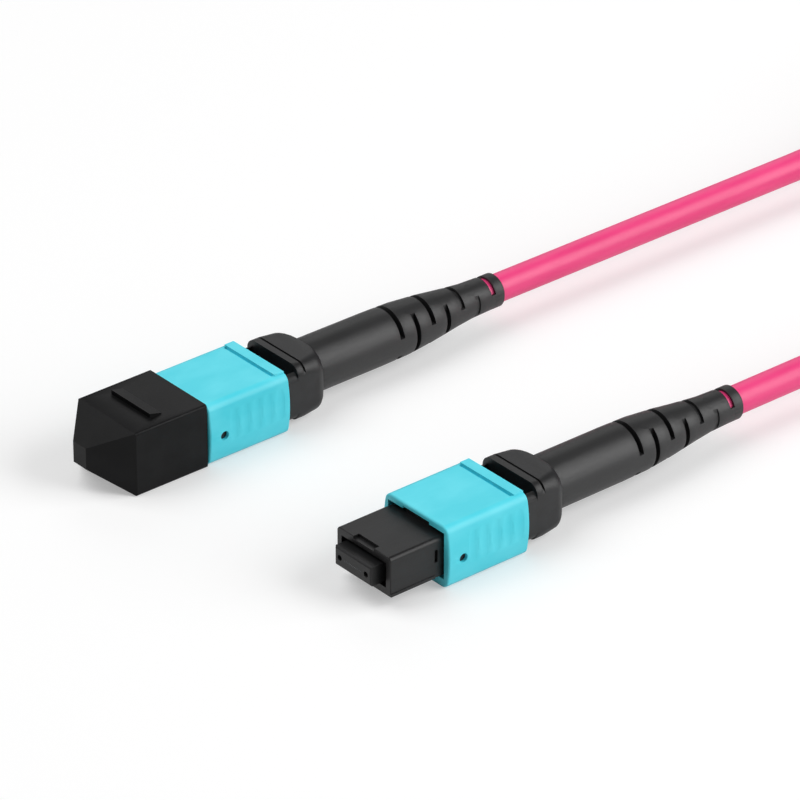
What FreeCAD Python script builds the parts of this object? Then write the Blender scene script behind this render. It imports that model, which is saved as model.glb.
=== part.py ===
import FreeCAD
import Part
import Sketcher
import math
import os
import re

# Multi-fibre patch cord: two push-on plugs joined by one round jacketed cable, lying on a table.
# Frame: millimetres, +Z up from the table, plugs along X with their noses towards -X.
# Each plug is drawn in its own frame, with x = 0 on the front face of its coupling sleeve.

doc = FreeCAD.newDocument("multi_fibre_patch_cord")
sheet = doc.addObject("Spreadsheet::Sheet", "Sizes")

SIZES = {
    # Where the two plugs lie
    "capped_plug_x": -18.69,
    "open_plug_x": -14.97,
    "plug_spacing": 38.4,
    "axis_height": 4.25,
    # How far a cut runs on past the surface it opens
    "cut_clear": 1.0,
    # Coupling sleeve
    "sleeve_length": 12.3,
    "sleeve_height": 8.0,
    "sleeve_flat": 10.6,
    "sleeve_bulge": 0.5,
    "sleeve_corner": 1.1,
    "sleeve_edge": 0.25,
    "sleeve_mouth_width": 9.8,
    "sleeve_mouth_low": 1.2,
    "sleeve_mouth_height": 6.0,
    "sleeve_bay_width": 9.9,
    "sleeve_bay_low": 0.65,
    "sleeve_bay_height": 6.65,
    "keyway_width": 4.6,
    "keyway_depth": 0.3,
    "lug_front": 2.6,
    "lug_length": 1.4,
    "lug_height": 1.4,
    "lug_gap": 8.46,
    "lug_root": 0.2,
    "spring_channel_width": 10.8,
    "spring_channel_height": 1.5,
    "rim_length": 1.45,
    "rim_rise": 0.2,
    "rim_width": 9.4,
    "line_width": 0.35,
    "line_depth": 0.3,
    "line_length": 8.9,
    "grip_first": 5.0,
    "grip_pitch": 1.25,
    "grip_count": 5,
    "grip_round": 2.0,
    "grip_depth": 0.12,
    "grip_height": 4.6,
    "dot_diameter": 1.15,
    "dot_depth": 0.5,
    "dot_along": 2.15,
    "dot_height": 3.6,
    # Inner housing
    "housing_width": 9.4,
    "housing_height": 5.0,
    "housing_reach": 7.6,
    "housing_tail": 10.0,
    "housing_corner": 0.55,
    "housing_edge": 0.12,
    "aperture_width": 7.8,
    "aperture_height": 3.2,
    "aperture_depth": 1.5,
    "guide_width": 6.6,
    "guide_height": 2.7,
    "stop_setback": 3.45,
    "cavity_width": 7.3,
    "cavity_height": 3.2,
    "key_width": 4.2,
    "key_height": 0.5,
    "key_front": 0.3,
    "key_length": 8.0,
    "notch_width": 3.6,
    "notch_length": 0.8,
    "notch_depth": 0.35,
    "ledge_height": 0.35,
    "ledge_reach": 0.1,
    "latch_along": 1.2,
    "latch_width": 0.45,
    "latch_height": 1.6,
    "latch_depth": 0.4,
    "latch_rise": 0.3,
    "channel_front": 2.5,
    "channel_depth": 0.55,
    # Ferrule and what rides with it
    "ferrule_width": 6.4,
    "ferrule_height": 2.5,
    "ferrule_length": 8.0,
    "ferrule_reach": 1.6,
    "ferrule_chamfer": 0.2,
    "shoulder_width": 7.0,
    "shoulder_height": 2.9,
    "shoulder_length": 2.2,
    "pin_hole_diameter": 0.7,
    "pin_hole_pitch": 4.6,
    "pin_hole_depth": 5.0,
    "ribbon_pocket_width": 3.5,
    "ribbon_pocket_height": 1.15,
    "ribbon_pocket_depth": 1.3,
    "keeper_width": 6.9,
    "keeper_height": 2.8,
    "keeper_length": 1.8,
    "ribbon_boot_width": 3.3,
    "ribbon_boot_height": 0.95,
    "ribbon_boot_length": 3.6,
    "ribbon_boot_gap": 0.1,
    "ribbon_width": 3.1,
    "ribbon_thickness": 0.32,
    "ribbon_end_gap": 0.1,
    # Springs
    "ferrule_spring_width": 6.2,
    "ferrule_spring_height": 2.7,
    "ferrule_spring_wire": 0.35,
    "ferrule_spring_turns": 6,
    "coupling_spring_diameter": 1.1,
    "coupling_spring_wire": 0.2,
    "coupling_spring_turns": 7,
    "coupling_spring_offset": 4.78,
    "spring_end_gap": 0.05,
    # Back shell
    "shell_front": 7.6,
    "tongue_width": 7.0,
    "tongue_height": 2.9,
    "neck_front": 10.5,
    "neck_width": 9.6,
    "neck_low": 0.9,
    "neck_height": 6.1,
    "neck_corner": 1.0,
    "ridge_front": 13.7,
    "ridge_low": 0.45,
    "ridge_height": 7.5,
    "ridge_corner": 1.4,
    "window_front": 11.4,
    "window_width": 7.8,
    "window_depth": 1.85,
    "shell_line_along": 15.1,
    "shell_line_depth": 0.3,
    "taper_front": 16.9,
    "shell_rear": 18.4,
    "shell_rear_size": 7.0,
    "shell_rear_corner": 3.1,
    "ribbon_way_width": 4.0,
    "ribbon_way_height": 1.4,
    "stem_diameter": 4.5,
    "stem_bore": 3.4,
    "stem_rear": 23.2,
    # Crimp ring
    "crimp_front": 18.7,
    "crimp_shoulder": 23.6,
    "crimp_step": 24.2,
    "crimp_rear": 27.0,
    "crimp_large_bore": 4.7,
    "crimp_small_bore": 3.72,
    "crimp_wall": 0.35,
    # Strain boot
    "boot_root_diameter": 6.9,
    "boot_waist_diameter": 6.4,
    "boot_waist": 32.4,
    "boot_tip_diameter": 4.1,
    "boot_tip": 46.65,
    "boot_ring_diameter": 4.3,
    "boot_rear": 48.2,
    "boot_ring_bevel": 0.2,
    "boot_large_bore": 5.6,
    "boot_step": 27.4,
    "boot_funnel": 28.2,
    "boot_small_bore": 3.76,
    "slot_first": 31.1,
    "slot_pitch": 2.55,
    "slot_width": 0.68,
    "slot_pairs_upright": 4,
    "slot_pairs_sideways": 3,
    "upright_web": 1.3,
    "lower_cut": 1.75,
    "sideways_web": 3.6,
    "skin_diameter": 4.1,
    "skin_rear": 45.0,
    # Dust cap
    "cap_gap": 0.15,
    "cap_width": 10.9,
    "cap_height": 8.4,
    "cap_straight": 10.3,
    "cap_nose": 4.1,
    "cap_nose_width": 2.4,
    "cap_nose_height": 2.8,
    "cap_nose_middle": 4.65,
    "cap_corner": 0.35,
    "cap_bore_width": 9.75,
    "cap_bore_low": 1.55,
    "cap_bore_height": 5.4,
    "cap_bore_depth": 9.5,
    "rib_along": 5.4,
    "rib_length": 1.65,
    "rib_height": 0.55,
    "rib_rear_height": 0.14,
    "rib_root": 0.2,
    "rib_width": 7.3,
    # Cable
    "cable_diameter": 3.6,
    "jacket_start": 23.5,
    "run_a_bend": 92.0,
    "run_b_bend": 64.0,
    "coil_inner_turn": 15.2,
    "coil_turn_pitch": 3.65,
    "coil_layer_turns": 2.75,
    "coil_inner_dip": 2.0,
    "coil_middle_x": 122.8,
    "coil_lead": 15.0,
    "coil_edge": 1.2,
    # Strap round the coil
    "tie_thickness": 0.45,
    "tie_gap": 0.05,
    "tie_width": 6.0,
}
for row, (alias, number) in enumerate(SIZES.items(), start=1):
    sheet.set(f"A{row}", alias)
    sheet.set(f"B{row}", str(number))
    sheet.setAlias(f"B{row}", alias)
doc.recompute()
# How close an edge lies to a plane to be counted as on it
on_plane = 0.01


def size(alias):
    return float(sheet.get(alias))


def bind(obj, prop, formula):
    # Writes a formula of sheet names onto one property
    def qualified(word):
        return f"Sizes.{word.group()}" if word.group() in SIZES else word.group()
    obj.setExpression(prop, re.sub(r"[a-z_]+", qualified, formula))


def new_body(name, plug):
    body = doc.addObject("PartDesign::Body", name)
    if plug == "a":
        bind(body, "Placement.Base.x", "capped_plug_x")
        bind(body, "Placement.Base.y", "plug_spacing / 2")
    if plug == "b":
        bind(body, "Placement.Base.x", "open_plug_x")
        bind(body, "Placement.Base.y", "-plug_spacing / 2")
    return body


def new_sketch(body, name, role, offset="0"):
    plane = next(f for f in body.Origin.OriginFeatures if f.Role == role)
    sketch = body.newObject("Sketcher::SketchObject", name)
    sketch.AttachmentSupport = [(plane, "")]
    sketch.MapMode = "FlatFace"
    bind(sketch, "AttachmentOffset.Base.z", offset)
    return sketch


def hold(sketch, kind, refs, name, formula, start):
    # A dimension of a sketch, tied to the sheet
    index = sketch.addConstraint(Sketcher.Constraint(kind, *refs, start))
    sketch.renameConstraint(index, name)
    bind(sketch, f"Constraints.{name}", formula)


def outline(sketch, corners):
    # Closed run of straight lines through the corners
    first = sketch.GeometryCount
    for i, corner in enumerate(corners):
        following = corners[(i + 1) % len(corners)]
        sketch.addGeometry(Part.LineSegment(FreeCAD.Vector(*corner, 0), FreeCAD.Vector(*following, 0)))
    for i in range(len(corners)):
        j = (i + 1) % len(corners)
        sketch.addConstraint(Sketcher.Constraint("Coincident", first + i, 2, first + j, 1))
    return first


def rectangle(sketch, left, low, width, height):
    first = outline(sketch, [(-1, 1), (1, 1), (1, 2), (-1, 2)])
    for i, kind in enumerate(("Horizontal", "Vertical", "Horizontal", "Vertical")):
        sketch.addConstraint(Sketcher.Constraint(kind, first + i))
    hold(sketch, "DistanceX", (-1, 1, first, 1), f"left{first}", left, -1)
    hold(sketch, "DistanceY", (-1, 1, first, 1), f"low{first}", low, 1)
    hold(sketch, "DistanceX", (first, 1, first, 2), f"width{first}", width, 2)
    hold(sketch, "DistanceY", (first + 1, 1, first + 1, 2), f"height{first}", height, 1)


def centred(sketch, width, low, height):
    rectangle(sketch, f"-({width}) / 2", low, width, height)


def about_axis(sketch, width, height):
    centred(sketch, width, f"axis_height - ({height}) / 2", height)


def circle(sketch, diameter, across="0", up="axis_height"):
    index = sketch.addGeometry(Part.Circle(FreeCAD.Vector(0.3, 1, 0), FreeCAD.Vector(0, 0, 1), 1))
    hold(sketch, "DistanceX", (-1, 1, index, 3), f"across{index}", across, 0.3)
    hold(sketch, "DistanceY", (-1, 1, index, 3), f"up{index}", up, 1)
    hold(sketch, "Diameter", (index,), f"diameter{index}", diameter, 2)


def rounded_rectangle(sketch, width, low, height, corner):
    # Rectangle with four tangent corner arcs
    first = sketch.GeometryCount
    straights = [((-1, 0), (1, 0)), ((2, 1), (2, 2)), ((1, 3), (-1, 3)), ((-2, 2), (-2, 1))]
    corners = [((1, 1), 270, 360), ((1, 2), 0, 90), ((-1, 2), 90, 180), ((-1, 1), 180, 270)]
    for (start, end), (middle, begin, finish) in zip(straights, corners):
        sketch.addGeometry(Part.LineSegment(FreeCAD.Vector(*start, 0), FreeCAD.Vector(*end, 0)))
        ring = Part.Circle(FreeCAD.Vector(*middle, 0), FreeCAD.Vector(0, 0, 1), 1)
        sketch.addGeometry(Part.ArcOfCircle(ring, math.radians(begin), math.radians(finish)))
    for i in range(0, 8, 2):
        line, arc, following = first + i, first + i + 1, first + (i + 2) % 8
        sketch.addConstraint(Sketcher.Constraint("Tangent", line, 2, arc, 1))
        sketch.addConstraint(Sketcher.Constraint("Tangent", arc, 2, following, 1))
        if i:
            sketch.addConstraint(Sketcher.Constraint("Horizontal" if i % 4 == 0 else "Vertical", line))
            sketch.addConstraint(Sketcher.Constraint("Equal", first + 1, arc))
    sketch.addConstraint(Sketcher.Constraint("Symmetric", first, 1, first, 2, -2))
    hold(sketch, "Radius", (first + 1,), f"corner{first}", corner, 1)
    hold(sketch, "DistanceX", (first, 1, first, 2), f"flat{first}", f"{width} - 2 * ({corner})", 2)
    hold(sketch, "DistanceY", (first + 2, 1, first + 2, 2), f"side{first}", f"{height} - 2 * ({corner})", 1)
    hold(sketch, "DistanceY", (-1, 1, first, 1), f"base{first}", low, 0.5)


def grow(body, sketch, name, length, backwards=False, both=False):
    pad = body.newObject("PartDesign::Pad", name)
    pad.Profile = sketch
    bind(pad, "Length", length)
    pad.Reversed = backwards
    pad.Midplane = both
    doc.recompute()
    return pad


def cut(body, sketch, name, length, backwards=False, both=False):
    before = body.Shape.Volume
    pocket = body.newObject("PartDesign::Pocket", name)
    pocket.Profile = sketch
    bind(pocket, "Length", length)
    pocket.Reversed = backwards
    pocket.Midplane = both
    doc.recompute()
    if body.Shape.Volume > before - 1e-6:
        raise RuntimeError(f"{name} cuts nothing")
    return pocket


def round_off(body, base, name, radius, keep, kind="Fillet"):
    # Rounds or bevels the edges of the base feature that keep() picks
    edges = [f"Edge{i}" for i, e in enumerate(base.Shape.Edges, start=1) if keep(e)]
    feature = body.newObject(f"PartDesign::{kind}", name)
    feature.Base = (base, edges)
    bind(feature, "Radius" if kind == "Fillet" else "Size", radius)
    doc.recompute()
    return feature


def runs_along(edge, axis):
    # True for a straight edge along one axis of the part
    if edge.Curve.TypeId != "Part::GeomLine":
        return False
    return abs(getattr(edge.tangentAt(edge.FirstParameter), axis)) > 0.999


def repeat(body, feature, name, count, length):
    # The same cut, repeated along the plug
    axis = next(f for f in body.Origin.OriginFeatures if f.Role == "X_Axis")
    pattern = body.newObject("PartDesign::LinearPattern", name)
    pattern.Originals = [feature]
    pattern.Direction = (axis, [""])
    bind(pattern, "Occurrences", count)
    bind(pattern, "Length", length)
    body.Tip = pattern
    doc.recompute()
    return pattern


def coupling_sleeve(plug):
    # Moulded grip: flat top and bottom, bulged sides, open at both ends
    body = new_body(f"coupling_sleeve_{plug}", plug)
    flank = new_sketch(body, f"sleeve_section_{plug}", "YZ_Plane")
    half, high, rise = size("sleeve_flat") / 2, size("sleeve_height"), size("sleeve_bulge")
    corners = {"sw": (-half, 0), "se": (half, 0), "ne": (half, high), "nw": (-half, high)}
    points = {key: FreeCAD.Vector(*at, 0) for key, at in corners.items()}
    flank.addGeometry(Part.LineSegment(points["sw"], points["se"]))
    flank.addGeometry(Part.Arc(points["se"], FreeCAD.Vector(half + rise, high / 2, 0), points["ne"]))
    flank.addGeometry(Part.LineSegment(points["ne"], points["nw"]))
    flank.addGeometry(Part.Arc(points["nw"], FreeCAD.Vector(-half - rise, high / 2, 0), points["sw"]))
    for first, following in ((0, 1), (1, 2), (2, 3), (3, 0)):
        flank.addConstraint(Sketcher.Constraint("Coincident", first, 2, following, 1))
    flank.addConstraint(Sketcher.Constraint("Symmetric", 0, 1, 0, 2, -2))
    flank.addConstraint(Sketcher.Constraint("Symmetric", 2, 1, 2, 2, -2))
    flank.addConstraint(Sketcher.Constraint("Equal", 0, 2))
    flank.addConstraint(Sketcher.Constraint("Equal", 1, 3))
    flank.addConstraint(Sketcher.Constraint("PointOnObject", 0, 1, -1))
    hold(flank, "DistanceX", (0, 1, 0, 2), "flat", "sleeve_flat", 2 * half)
    hold(flank, "DistanceY", (0, 2, 2, 1), "height", "sleeve_height", high)
    bow = "(sleeve_height ^ 2 / 4 + sleeve_bulge ^ 2) / (2 * sleeve_bulge)"
    hold(flank, "Radius", (1,), "bow", bow, (high ** 2 / 4 + rise ** 2) / (2 * rise))
    grow(body, flank, f"sleeve_block_{plug}", "sleeve_length")
    round_off(
        body, body.Tip, f"sleeve_rounding_{plug}", "sleeve_corner",
        lambda e: runs_along(e, "x") and abs(e.CenterOfMass.y) > half - on_plane)
    round_off(
        body, body.Tip, f"sleeve_front_rounding_{plug}", "sleeve_edge",
        lambda e: e.CenterOfMass.x < on_plane)
    rim = new_sketch(body, f"sleeve_rim_section_{plug}", "YZ_Plane", "sleeve_length")
    centred(rim, "rim_width", "sleeve_height / 2", "sleeve_height / 2 + rim_rise")
    grow(body, rim, f"sleeve_rim_{plug}", "rim_length", backwards=True)
    mouth = new_sketch(body, f"sleeve_mouth_section_{plug}", "YZ_Plane")
    centred(mouth, "sleeve_mouth_width", "sleeve_mouth_low", "sleeve_mouth_height")
    cut(body, mouth, f"sleeve_mouth_{plug}", "sleeve_length", backwards=True)
    keyway = new_sketch(body, f"sleeve_keyway_section_{plug}", "YZ_Plane")
    centred(keyway, "keyway_width", "sleeve_mouth_low", "sleeve_mouth_height + keyway_depth")
    cut(body, keyway, f"sleeve_keyway_{plug}", "sleeve_length", backwards=True)
    bay = new_sketch(body, f"sleeve_bay_section_{plug}", "YZ_Plane", "sleeve_length")
    centred(bay, "sleeve_bay_width", "sleeve_bay_low", "sleeve_bay_height")
    bay_length = "sleeve_length - lug_front - lug_length"
    cut(body, bay, f"sleeve_bay_{plug}", bay_length)
    channel = new_sketch(body, f"sleeve_channel_section_{plug}", "YZ_Plane", "sleeve_length")
    about_axis(channel, "spring_channel_width", "spring_channel_height")
    cut(body, channel, f"sleeve_channel_{plug}", bay_length)
    # Lugs that push the two coupling springs
    lugs = new_sketch(body, f"sleeve_lug_section_{plug}", "YZ_Plane", "lug_front")
    lug_width = "(sleeve_mouth_width - lug_gap) / 2 + lug_root"
    lug_low = "axis_height - lug_height / 2"
    rectangle(lugs, "lug_gap / 2", lug_low, lug_width, "lug_height")
    rectangle(lugs, f"-lug_gap / 2 - ({lug_width})", lug_low, lug_width, "lug_height")
    grow(body, lugs, f"sleeve_lugs_{plug}", "lug_length")
    # Line pressed across the top in front of the rim
    line = new_sketch(body, f"sleeve_line_section_{plug}", "XY_Plane", "sleeve_height")
    line_front = "sleeve_length - rim_length - line_width"
    rectangle(line, line_front, "-line_length / 2", "line_width", "line_length")
    cut(body, line, f"sleeve_line_{plug}", "line_depth")
    # Shallow finger scallops down both flanks
    grip = new_sketch(body, f"sleeve_grip_section_{plug}", "XY_Plane", "axis_height - grip_height / 2")
    outer = "sleeve_flat / 2 + sleeve_bulge"
    reach = f"{outer} + grip_round / 2 - grip_depth"
    circle(grip, "grip_round", "grip_first", reach)
    circle(grip, "grip_round", "grip_first", f"-({reach})")
    first_grip = cut(body, grip, f"sleeve_grip_{plug}", "grip_height", backwards=True)
    repeat(body, first_grip, f"sleeve_grips_{plug}", "grip_count", "grip_pitch * (grip_count - 1)")
    # Round position mark sunk in the near flank
    dot = new_sketch(body, f"sleeve_dot_section_{plug}", "XZ_Plane", f"{outer} - dot_depth")
    circle(dot, "dot_diameter", "dot_along", "dot_height")
    cut(body, dot, f"sleeve_dot_{plug}", "dot_depth + cut_clear", backwards=True)
    return body


def inner_housing(plug):
    # Nose of the plug: a tube with a stepped bore, key, latch recesses and spring channels
    body = new_body(f"inner_housing_{plug}", plug)
    section = new_sketch(body, f"housing_section_{plug}", "YZ_Plane", "-housing_reach")
    about_axis(section, "housing_width", "housing_height")
    tube = grow(body, section, f"housing_block_{plug}", "housing_reach + housing_tail")
    top = size("axis_height") + size("housing_height") / 2
    round_off(
        body, tube, f"housing_rounding_{plug}", "housing_corner",
        lambda e: runs_along(e, "x") and e.CenterOfMass.z > top - on_plane)
    front, low = -size("housing_reach"), size("axis_height") - size("housing_height") / 2
    round_off(
        body, body.Tip, f"housing_front_rounding_{plug}", "housing_edge",
        lambda e: e.CenterOfMass.x < front + on_plane and e.CenterOfMass.z > low + on_plane)
    ledge = new_sketch(body, f"housing_ledge_section_{plug}", "YZ_Plane", "-housing_reach")
    centred(ledge, "housing_width + 2 * ledge_reach", "axis_height - housing_height / 2", "ledge_height")
    grow(body, ledge, f"housing_ledge_{plug}", "housing_reach - latch_along")
    key = new_sketch(body, f"housing_key_section_{plug}", "YZ_Plane", "key_front")
    centred(key, "key_width", "axis_height", "housing_height / 2 + key_height")
    grow(body, key, f"housing_key_{plug}", "key_length")
    aperture = new_sketch(body, f"housing_aperture_section_{plug}", "YZ_Plane", "-housing_reach")
    about_axis(aperture, "aperture_width", "aperture_height")
    cut(body, aperture, f"housing_aperture_{plug}", "aperture_depth", backwards=True)
    guide = new_sketch(body, f"housing_guide_section_{plug}", "YZ_Plane", "-housing_reach")
    about_axis(guide, "guide_width", "guide_height")
    cut(body, guide, f"housing_guide_{plug}", "housing_reach", backwards=True)
    cavity = new_sketch(body, f"housing_cavity_section_{plug}", "YZ_Plane", "housing_tail")
    about_axis(cavity, "cavity_width", "cavity_height")
    cut(body, cavity, f"housing_cavity_{plug}", "housing_tail + stop_setback")
    notch = new_sketch(body, f"housing_notch_section_{plug}", "XY_Plane", "axis_height + housing_height / 2")
    rectangle(notch, "-housing_reach", "-notch_width / 2", "notch_length", "notch_width")
    cut(body, notch, f"housing_notch_{plug}", "notch_depth")
    # Channels that seat the coupling springs and stop the sleeve's lugs
    channels = new_sketch(body, f"housing_channel_section_{plug}", "YZ_Plane", "housing_tail")
    channel_low = "axis_height - spring_channel_height / 2"
    for across in ("housing_width / 2 - channel_depth", "channel_depth - cut_clear - housing_width / 2"):
        rectangle(channels, across, channel_low, "cut_clear", "spring_channel_height")
    cut(body, channels, f"housing_channels_{plug}", "housing_tail - channel_front")
    # Recesses for the adapter's latch hooks
    latch = new_sketch(body, f"housing_latch_section_{plug}", "YZ_Plane", "-latch_along")
    latch_low = "axis_height - latch_height / 2 + latch_rise"
    for across in ("housing_width / 2 - latch_depth", "latch_depth - cut_clear - housing_width / 2"):
        rectangle(latch, across, latch_low, "cut_clear", "latch_height")
    cut(body, latch, f"housing_latches_{plug}", "latch_width", backwards=True)
    return body


def ferrule(plug):
    # Fibre block with a rear shoulder, two guide holes and a pocket for the ribbon boot
    body = new_body(f"ferrule_{plug}", plug)
    tip = "-housing_reach - ferrule_reach"
    section = new_sketch(body, f"ferrule_section_{plug}", "YZ_Plane", tip)
    about_axis(section, "ferrule_width", "ferrule_height")
    block = grow(body, section, f"ferrule_block_{plug}", "ferrule_length")
    front = -size("housing_reach") - size("ferrule_reach")
    round_off(
        body, block, f"ferrule_bevel_{plug}", "ferrule_chamfer",
        lambda e: e.CenterOfMass.x < front + on_plane, kind="Chamfer")
    shoulder = new_sketch(body, f"ferrule_shoulder_section_{plug}", "YZ_Plane", f"{tip} + ferrule_length")
    about_axis(shoulder, "shoulder_width", "shoulder_height")
    grow(body, shoulder, f"ferrule_shoulder_{plug}", "shoulder_length", backwards=True)
    holes = new_sketch(body, f"ferrule_hole_section_{plug}", "YZ_Plane", tip)
    circle(holes, "pin_hole_diameter", "pin_hole_pitch / 2")
    circle(holes, "pin_hole_diameter", "-pin_hole_pitch / 2")
    cut(body, holes, f"ferrule_holes_{plug}", "pin_hole_depth", backwards=True)
    pocket = new_sketch(body, f"ferrule_pocket_section_{plug}", "YZ_Plane", f"{tip} + ferrule_length")
    about_axis(pocket, "ribbon_pocket_width", "ribbon_pocket_height")
    cut(body, pocket, f"ferrule_pocket_{plug}", "ribbon_pocket_depth")
    return body


ferrule_rear = "ferrule_length - housing_reach - ferrule_reach"
keeper_rear = f"{ferrule_rear} + keeper_length"
ribbon_boot_front = f"{ferrule_rear} - ribbon_pocket_depth + ribbon_boot_gap"


def pin_keeper(plug):
    # Plate behind the ferrule, slotted for the fibres
    body = new_body(f"pin_keeper_{plug}", plug)
    section = new_sketch(body, f"keeper_section_{plug}", "YZ_Plane", ferrule_rear)
    about_axis(section, "keeper_width", "keeper_height")
    about_axis(section, "ribbon_pocket_width", "ribbon_pocket_height")
    grow(body, section, f"keeper_plate_{plug}", "keeper_length")
    return body


def ribbon_boot(plug):
    # Soft block with a slot for the fibre ribbon
    body = new_body(f"ribbon_boot_{plug}", plug)
    section = new_sketch(body, f"ribbon_boot_section_{plug}", "YZ_Plane", ribbon_boot_front)
    about_axis(section, "ribbon_boot_width", "ribbon_boot_height")
    grow(body, section, f"ribbon_boot_block_{plug}", "ribbon_boot_length")
    return body


def fibre_ribbon(plug):
    # Flat ribbon of fibres from the ribbon boot to the end of the jacket
    body = new_body(f"fibre_ribbon_{plug}", plug)
    start = f"{ribbon_boot_front} + ribbon_boot_length"
    section = new_sketch(body, f"ribbon_section_{plug}", "YZ_Plane", start)
    about_axis(section, "ribbon_width", "ribbon_thickness")
    grow(body, section, f"ribbon_strip_{plug}", f"jacket_start - ribbon_end_gap - ({start})")
    return body


def back_shell(plug):
    # Spring push: tongue, neck, flange with a window behind the sleeve, taper and crimp stem
    body = new_body(f"back_shell_{plug}", plug)
    tongue = new_sketch(body, f"shell_tongue_section_{plug}", "YZ_Plane", "shell_front")
    about_axis(tongue, "tongue_width", "tongue_height")
    grow(body, tongue, f"shell_tongue_{plug}", "ridge_front - shell_front")
    neck = new_sketch(body, f"shell_neck_section_{plug}", "YZ_Plane", "neck_front")
    centred(neck, "neck_width", "neck_low", "neck_height")
    neck_pad = grow(body, neck, f"shell_neck_{plug}", "ridge_front - neck_front")
    neck_half = size("neck_width") / 2
    round_off(
        body, neck_pad, f"shell_neck_rounding_{plug}", "neck_corner",
        lambda e: runs_along(e, "x") and abs(e.CenterOfMass.y) > neck_half - on_plane)
    ridge = new_sketch(body, f"shell_ridge_section_{plug}", "YZ_Plane", "ridge_front")
    centred(ridge, "neck_width", "ridge_low", "ridge_height")
    ridge_pad = grow(body, ridge, f"shell_ridge_{plug}", "taper_front - ridge_front")
    ridge_start = size("ridge_front") + on_plane

    def on_ridge(edge):
        middle = edge.CenterOfMass
        return runs_along(edge, "x") and abs(middle.y) > neck_half - on_plane and middle.x > ridge_start

    round_off(body, ridge_pad, f"shell_ridge_rounding_{plug}", "ridge_corner", on_ridge)
    # Rear of the flange draws in to the boot
    wide = new_sketch(body, f"shell_taper_wide_{plug}", "YZ_Plane", "taper_front")
    rounded_rectangle(wide, "neck_width", "ridge_low", "ridge_height", "ridge_corner")
    slim = new_sketch(body, f"shell_taper_slim_{plug}", "YZ_Plane", "shell_rear")
    slim_low = "axis_height - shell_rear_size / 2"
    rounded_rectangle(slim, "shell_rear_size", slim_low, "shell_rear_size", "shell_rear_corner")
    taper = body.newObject("PartDesign::AdditiveLoft", f"shell_taper_{plug}")
    taper.Profile = wide
    taper.Sections = [slim]
    taper.Ruled = True
    doc.recompute()
    stem = new_sketch(body, f"shell_stem_section_{plug}", "YZ_Plane", "shell_rear")
    circle(stem, "stem_diameter")
    grow(body, stem, f"shell_stem_{plug}", "stem_rear - shell_rear")
    bore = new_sketch(body, f"shell_bore_section_{plug}", "YZ_Plane", "stem_rear")
    circle(bore, "stem_bore")
    cut(body, bore, f"shell_bore_{plug}", "stem_rear - ridge_front")
    way = new_sketch(body, f"shell_way_section_{plug}", "YZ_Plane", "shell_front")
    about_axis(way, "ribbon_way_width", "ribbon_way_height")
    cut(body, way, f"shell_way_{plug}", "ridge_front + cut_clear - shell_front", backwards=True)
    # Window in the top and bottom of the neck, behind the sleeve
    window = new_sketch(body, f"shell_window_section_{plug}", "XY_Plane", "neck_low + neck_height")
    rectangle(window, "window_front", "-window_width / 2", "ridge_front - window_front", "window_width")
    cut(body, window, f"shell_window_{plug}", "window_depth")
    # Fine line round the flange
    band = new_sketch(body, f"shell_line_section_{plug}", "YZ_Plane", "shell_line_along")
    centred(band, "neck_width + 2 * cut_clear", "ridge_low - cut_clear", "ridge_height + 2 * cut_clear")
    inner_low = "ridge_low + shell_line_depth"
    rounded_rectangle(
        band, "neck_width - 2 * shell_line_depth", inner_low, "ridge_height - 2 * shell_line_depth",
        "ridge_corner - shell_line_depth")
    cut(body, band, f"shell_line_{plug}", "line_width", backwards=True)
    return body


def turned(body, name, corners):
    # Solid of revolution about the plug's axis, from (along, radius) corners given as formulas
    sketch = new_sketch(body, f"{name}_profile", "XZ_Plane")
    count = len(corners)
    turns = [2 * math.pi * i / count for i in range(count)]
    starts = [(10 + 3 * math.cos(turn), 8 + 3 * math.sin(turn)) for turn in turns]
    first = outline(sketch, starts)
    for i, (along, radius) in enumerate(corners):
        x, y = starts[i]
        hold(sketch, "DistanceX", (-1, 1, first + i, 1), f"along{i}", along, x)
        hold(sketch, "DistanceY", (-1, 1, first + i, 1), f"radius{i}", f"axis_height + {radius}", y)
    spindle = sketch.addGeometry(Part.LineSegment(FreeCAD.Vector(0, 4, 0), FreeCAD.Vector(9, 4, 0)), True)
    sketch.addConstraint(Sketcher.Constraint("Horizontal", spindle))
    hold(sketch, "DistanceX", (-1, 1, spindle, 1), "spindle_along", "0", 0)
    hold(sketch, "DistanceX", (spindle, 1, spindle, 2), "spindle_length", "boot_rear", 9)
    hold(sketch, "DistanceY", (-1, 1, spindle, 1), "spindle_up", "axis_height", 4)
    turn = body.newObject("PartDesign::Revolution", f"{name}_turning")
    turn.Profile = sketch
    turn.ReferenceAxis = (sketch, ["Axis0"])
    turn.Angle = 360
    doc.recompute()
    return turn


def crimp_ring(plug):
    # Drawn metal eyelet, large over the stem and small over the jacket
    body = new_body(f"crimp_ring_{plug}", plug)
    turned(body, f"crimp_{plug}", [
        ("crimp_front", "crimp_large_bore / 2"),
        ("crimp_shoulder", "crimp_large_bore / 2"),
        ("crimp_step", "crimp_small_bore / 2"),
        ("crimp_rear", "crimp_small_bore / 2"),
        ("crimp_rear", "crimp_small_bore / 2 + crimp_wall"),
        ("crimp_step", "crimp_small_bore / 2 + crimp_wall"),
        ("crimp_shoulder", "crimp_large_bore / 2 + crimp_wall"),
        ("crimp_front", "crimp_large_bore / 2 + crimp_wall"),
    ])
    return body


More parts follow.
